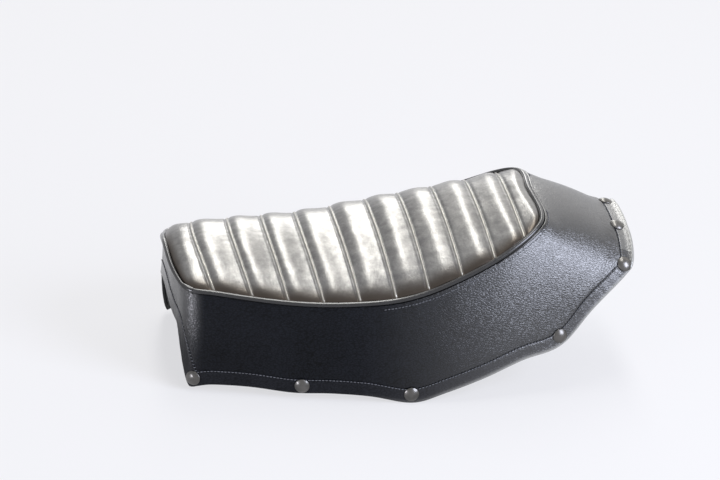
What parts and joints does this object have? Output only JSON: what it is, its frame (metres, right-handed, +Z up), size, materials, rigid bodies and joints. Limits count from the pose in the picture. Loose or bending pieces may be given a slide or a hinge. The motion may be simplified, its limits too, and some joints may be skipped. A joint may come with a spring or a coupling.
{
  "type": "motorcycle seat",
  "caption": "Solo motorcycle seat with a cross-ribbed leather insert, piped edge, raised rear hump and a snap-down cover over a moulded base pan.",
  "frame": {"origin": "centre of the four frame bolts, in the plane where the bosses meet the frame", "axes": "+X to the rear of the motorcycle, +Y to its right-hand side, +Z up"},
  "size_m": [0.4721, 0.2688, 0.1796],
  "materials": {
    "pan": "moulded black glass-fibre, satin",
    "cover": "black pebble-grained leather, satin",
    "insert": "pewter leather with a metallic sheen, mottled",
    "piping": "smooth black piping, semi-gloss",
    "hem": "black pebble-grained leather, folded and stitched",
    "studs": "satin nickel plate",
    "threads": "turned brass",
    "pads": "moulded black rubber",
    "brackets": "zinc-plated pressed steel",
    "rivets": "domed aluminium rivets"
  },
  "bodies": {
    "root": {"base_pan": "pan", "cushion": "cover", "ribbed_insert": "insert", "insert_piping": "piping", "hem_front": "hem", "hem_left": "hem", "hem_right": "hem", "rear_strap": "hem", "pan_bosses": "pan", "threaded_inserts": "threads", "rubber_pads": "pads", "front_hook": "brackets", "rear_bracket": "brackets", "bracket_rivets": "rivets", "snap_left_1": "studs", "snap_left_2": "studs", "snap_left_3": "studs", "snap_left_4": "studs", "snap_right_1": "studs", "snap_right_2": "studs", "snap_right_3": "studs", "snap_right_4": "studs", "snap_rear_1": "studs", "snap_rear_2": "studs", "snap_rear_3": "studs", "snap_rear_4": "studs"}
  },
  "joints": []
}
